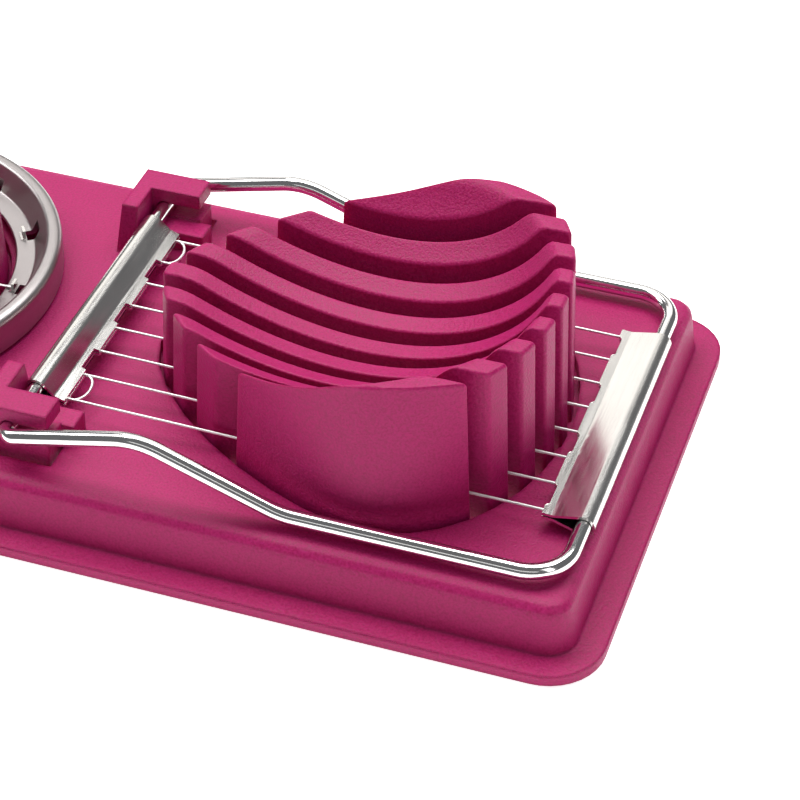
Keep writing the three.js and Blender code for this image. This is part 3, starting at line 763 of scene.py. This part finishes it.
class EGGCUTTER_OT_kept_parts(bpy.types.Operator):
    """Gives the kept nodes of the frame their finishes"""
    bl_idname = "eggcutter.kept_parts"
    bl_label = "Base, cup and pins"

    def execute(self, context):
        finishes = {"base_shell": "rose_plastic_base", "wedger_cup": "rose_plastic_base",
                    "wedger_hinge_pin": "polished_rod"}
        finishes.update({f"wedger_wire_{i}": "cutting_wire" for i in (1, 2, 3)})
        for name, key in finishes.items():
            node = frame["nodes"][name]
            node.data.materials.clear()
            node.data.materials.append(finish_material(key))
        return {"FINISHED"}


# ---- Stage ----

CAMERA_PLACE = (151.34, -302.83, 265.18)
CAMERA_LENS, CAMERA_SENSOR = 117.40, 36
FLOOR_HALF = 3.0
WORLD_COLOUR, WORLD_STRENGTH = (0.95, 0.96, 1.0, 1), 0.15
MIDDLE = (0.03, 0, 0.01)
WHITE, WARM = (1, 1, 1), (1.0, 0.97, 0.93)
# Each light's place, the point it faces, its two sides in metres, its power in watts and its colour
LIGHTS = {
    "top": ((0.0, 0.30, 0.75), MIDDLE, (0.8, 0.5), 6.8, WHITE),
    "key": ((-0.45, 0.05, 0.55), MIDDLE, (0.25, 0.6), 2.6, WHITE),
    "fill": ((0.65, -0.35, 0.45), MIDDLE, (0.2, 0.7), 0.75, WHITE),
    "front": ((0.10, -0.60, 0.42), (0.0, 0, 0.01), (0.7, 0.10), 0.22, WHITE),
    "back": ((-0.20, 0.80, 0.50), (0.0, 0, 0.01), (0.9, 0.30), 1.1, WARM),
}
# Rows of the turn whose columns are the camera's right, its up and its back
CAMERA_AXES = ((0.9488, -0.2076, 0.2381), (0.31563, 0.59264, -0.74105), (0.01273, 0.77825, 0.62782))


def soft_light(name, place, aim, sides, power, tint):
    """A rectangular studio light that faces a point."""
    light = bpy.data.lights.new(name, "AREA")
    light.shape = "RECTANGLE"
    light.size, light.size_y = sides
    light.energy = power
    light.color = tint
    lamp = bpy.data.objects.new(name, light)
    lamp.location = place
    lamp.rotation_euler = (Vector(aim) - Vector(place)).to_track_quat("-Z", "Y").to_euler()
    bpy.context.scene.collection.objects.link(lamp)


class EGGCUTTER_OT_stage(bpy.types.Operator):
    """Sets up the floor, the soft lights and the camera"""
    bl_idname = "eggcutter.stage"
    bl_label = "Stage"

    def execute(self, context):
        scene = bpy.context.scene
        mesh = bpy.data.meshes.new("floor")
        w = FLOOR_HALF
        mesh.from_pydata([(-w, -w, 0), (w, -w, 0), (w, w, 0), (-w, w, 0)], [], [(0, 1, 2, 3)])
        floor = bpy.data.objects.new("floor", mesh)
        scene.collection.objects.link(floor)
        material, _, shader, _ = node_material("floor_paper")
        shader.inputs["Base Color"].default_value = (*colours().floor, 1)
        shader.inputs["Roughness"].default_value = 0.9
        shader.inputs["Emission Color"].default_value = (1, 1, 1, 1)
        shader.inputs["Emission Strength"].default_value = 0.7
        mesh.materials.append(material)

        world = bpy.data.worlds.new("studio")
        scene.world = world
        world.use_nodes = True
        background = world.node_tree.nodes["Background"]
        background.inputs["Color"].default_value = WORLD_COLOUR
        background.inputs["Strength"].default_value = WORLD_STRENGTH
        for name, setting in LIGHTS.items():
            soft_light(name, *setting)
        scene.view_settings.view_transform = "Standard"

        data = bpy.data.cameras.new("camera")
        data.lens = CAMERA_LENS
        data.sensor_width = CAMERA_SENSOR
        camera = bpy.data.objects.new("camera", data)
        turn = Matrix(CAMERA_AXES).to_4x4()
        camera.matrix_world = Matrix.Translation(Vector(CAMERA_PLACE) * MM) @ turn
        scene.collection.objects.link(camera)
        scene.camera = camera
        return {"FINISHED"}


class EGGCUTTER_PT_panel(bpy.types.Panel):
    """Sizes, colours and the pieces' operators"""
    bl_label = "Egg Cutter"
    bl_idname = "EGGCUTTER_PT_panel"
    bl_space_type = "VIEW_3D"
    bl_region_type = "UI"
    bl_category = "Egg Cutter"

    def draw(self, context):
        layout = self.layout
        for group in (context.scene.egg_cutter_sizes, context.scene.egg_cutter_colours):
            box = layout.box()
            for name in group.__annotations__:
                box.prop(group, name)
        for operator in OPERATORS:
            layout.operator(operator.bl_idname)


OPERATORS = (EGGCUTTER_OT_cradle, EGGCUTTER_OT_frame_rod, EGGCUTTER_OT_clips, EGGCUTTER_OT_slicing_wires,
             EGGCUTTER_OT_ring, EGGCUTTER_OT_kept_parts, EGGCUTTER_OT_stage)
CLASSES = (EggCutterSizes, EggCutterColours, *OPERATORS, EGGCUTTER_PT_panel)


def register():
    for item in CLASSES:
        bpy.utils.register_class(item)
    bpy.types.Scene.egg_cutter_sizes = PointerProperty(type=EggCutterSizes)
    bpy.types.Scene.egg_cutter_colours = PointerProperty(type=EggCutterColours)


def unregister():
    del bpy.types.Scene.egg_cutter_colours
    del bpy.types.Scene.egg_cutter_sizes
    for item in reversed(CLASSES):
        bpy.utils.unregister_class(item)


def main():
    register()
    bpy.ops.eggcutter.cradle()
    bpy.ops.eggcutter.frame_rod()
    bpy.ops.eggcutter.clips()
    bpy.ops.eggcutter.slicing_wires()
    bpy.ops.eggcutter.ring()
    bpy.ops.eggcutter.kept_parts()
    bpy.ops.eggcutter.stage()


if __name__ == "__main__":
    main()
